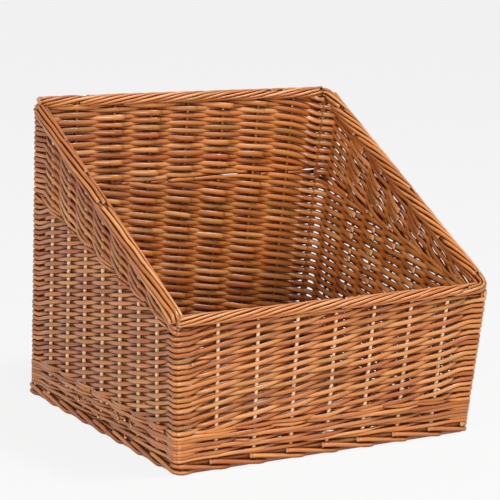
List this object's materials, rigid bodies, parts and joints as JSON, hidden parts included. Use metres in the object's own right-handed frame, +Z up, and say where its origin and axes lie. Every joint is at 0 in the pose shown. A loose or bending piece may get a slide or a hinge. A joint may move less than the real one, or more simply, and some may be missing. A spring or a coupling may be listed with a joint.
{
  "type": "wicker display basket",
  "caption": "Open willow display basket with a low front, a high back, side rims that slope between them, and rolled borders.",
  "frame": {"origin": "middle of the footprint, on the surface that the basket stands on", "axes": "+Z up, -Y towards the low front, +X to the right as seen from the front"},
  "size_m": [0.479, 0.4444, 0.42],
  "materials": {
    "foot_rod": "satin",
    "thick_rod": "satin",
    "stake": "satin",
    "waler": "satin",
    "weaver": "satin",
    "border_rod": "satin"
  },
  "bodies": {
    "root": {"back_border": "border_rod", "back_stake_1": "stake", "back_stake_2": "stake", "back_stake_3": "stake", "back_stake_4": "stake", "back_stake_5": "stake", "back_stake_6": "stake", "back_stake_7": "stake", "back_wale": "waler", "back_weave_lower": "weaver", "back_weave_upper": "weaver", "base_stick_1": "thick_rod", "base_stick_2": "thick_rod", "base_stick_3": "thick_rod", "base_stick_4": "thick_rod", "base_stick_5": "thick_rod", "base_stick_6": "thick_rod", "base_stick_7": "thick_rod", "base_weave": "weaver", "foot_border_back": "foot_rod", "foot_border_front": "foot_rod", "foot_border_left": "foot_rod", "foot_border_right": "foot_rod", "front_border": "border_rod", "front_stake_1": "stake", "front_stake_2": "stake", "front_stake_3": "stake", "front_stake_4": "stake", "front_stake_5": "stake", "front_stake_6": "stake", "front_stake_7": "stake", "front_wale": "waler", "front_weave": "weaver", "left_back_corner_post": "thick_rod", "left_front_corner_post": "thick_rod", "left_slope_border": "border_rod", "left_stake_1": "stake", "left_stake_2": "stake", "left_stake_3": "stake", "left_stake_4": "stake", "left_stake_5": "stake", "left_stake_6": "stake", "left_stake_7": "stake", "left_wale": "waler", "left_weave_lower": "weaver", "left_weave_upper": "weaver", "right_back_corner_post": "thick_rod", "right_front_corner_post": "thick_rod", "right_slope_border": "border_rod", "right_stake_1": "stake", "right_stake_2": "stake", "right_stake_3": "stake", "right_stake_4": "stake", "right_stake_5": "stake", "right_stake_6": "stake", "right_stake_7": "stake", "right_wale": "waler", "right_weave_lower": "weaver", "right_weave_upper": "weaver"}
  },
  "joints": []
}
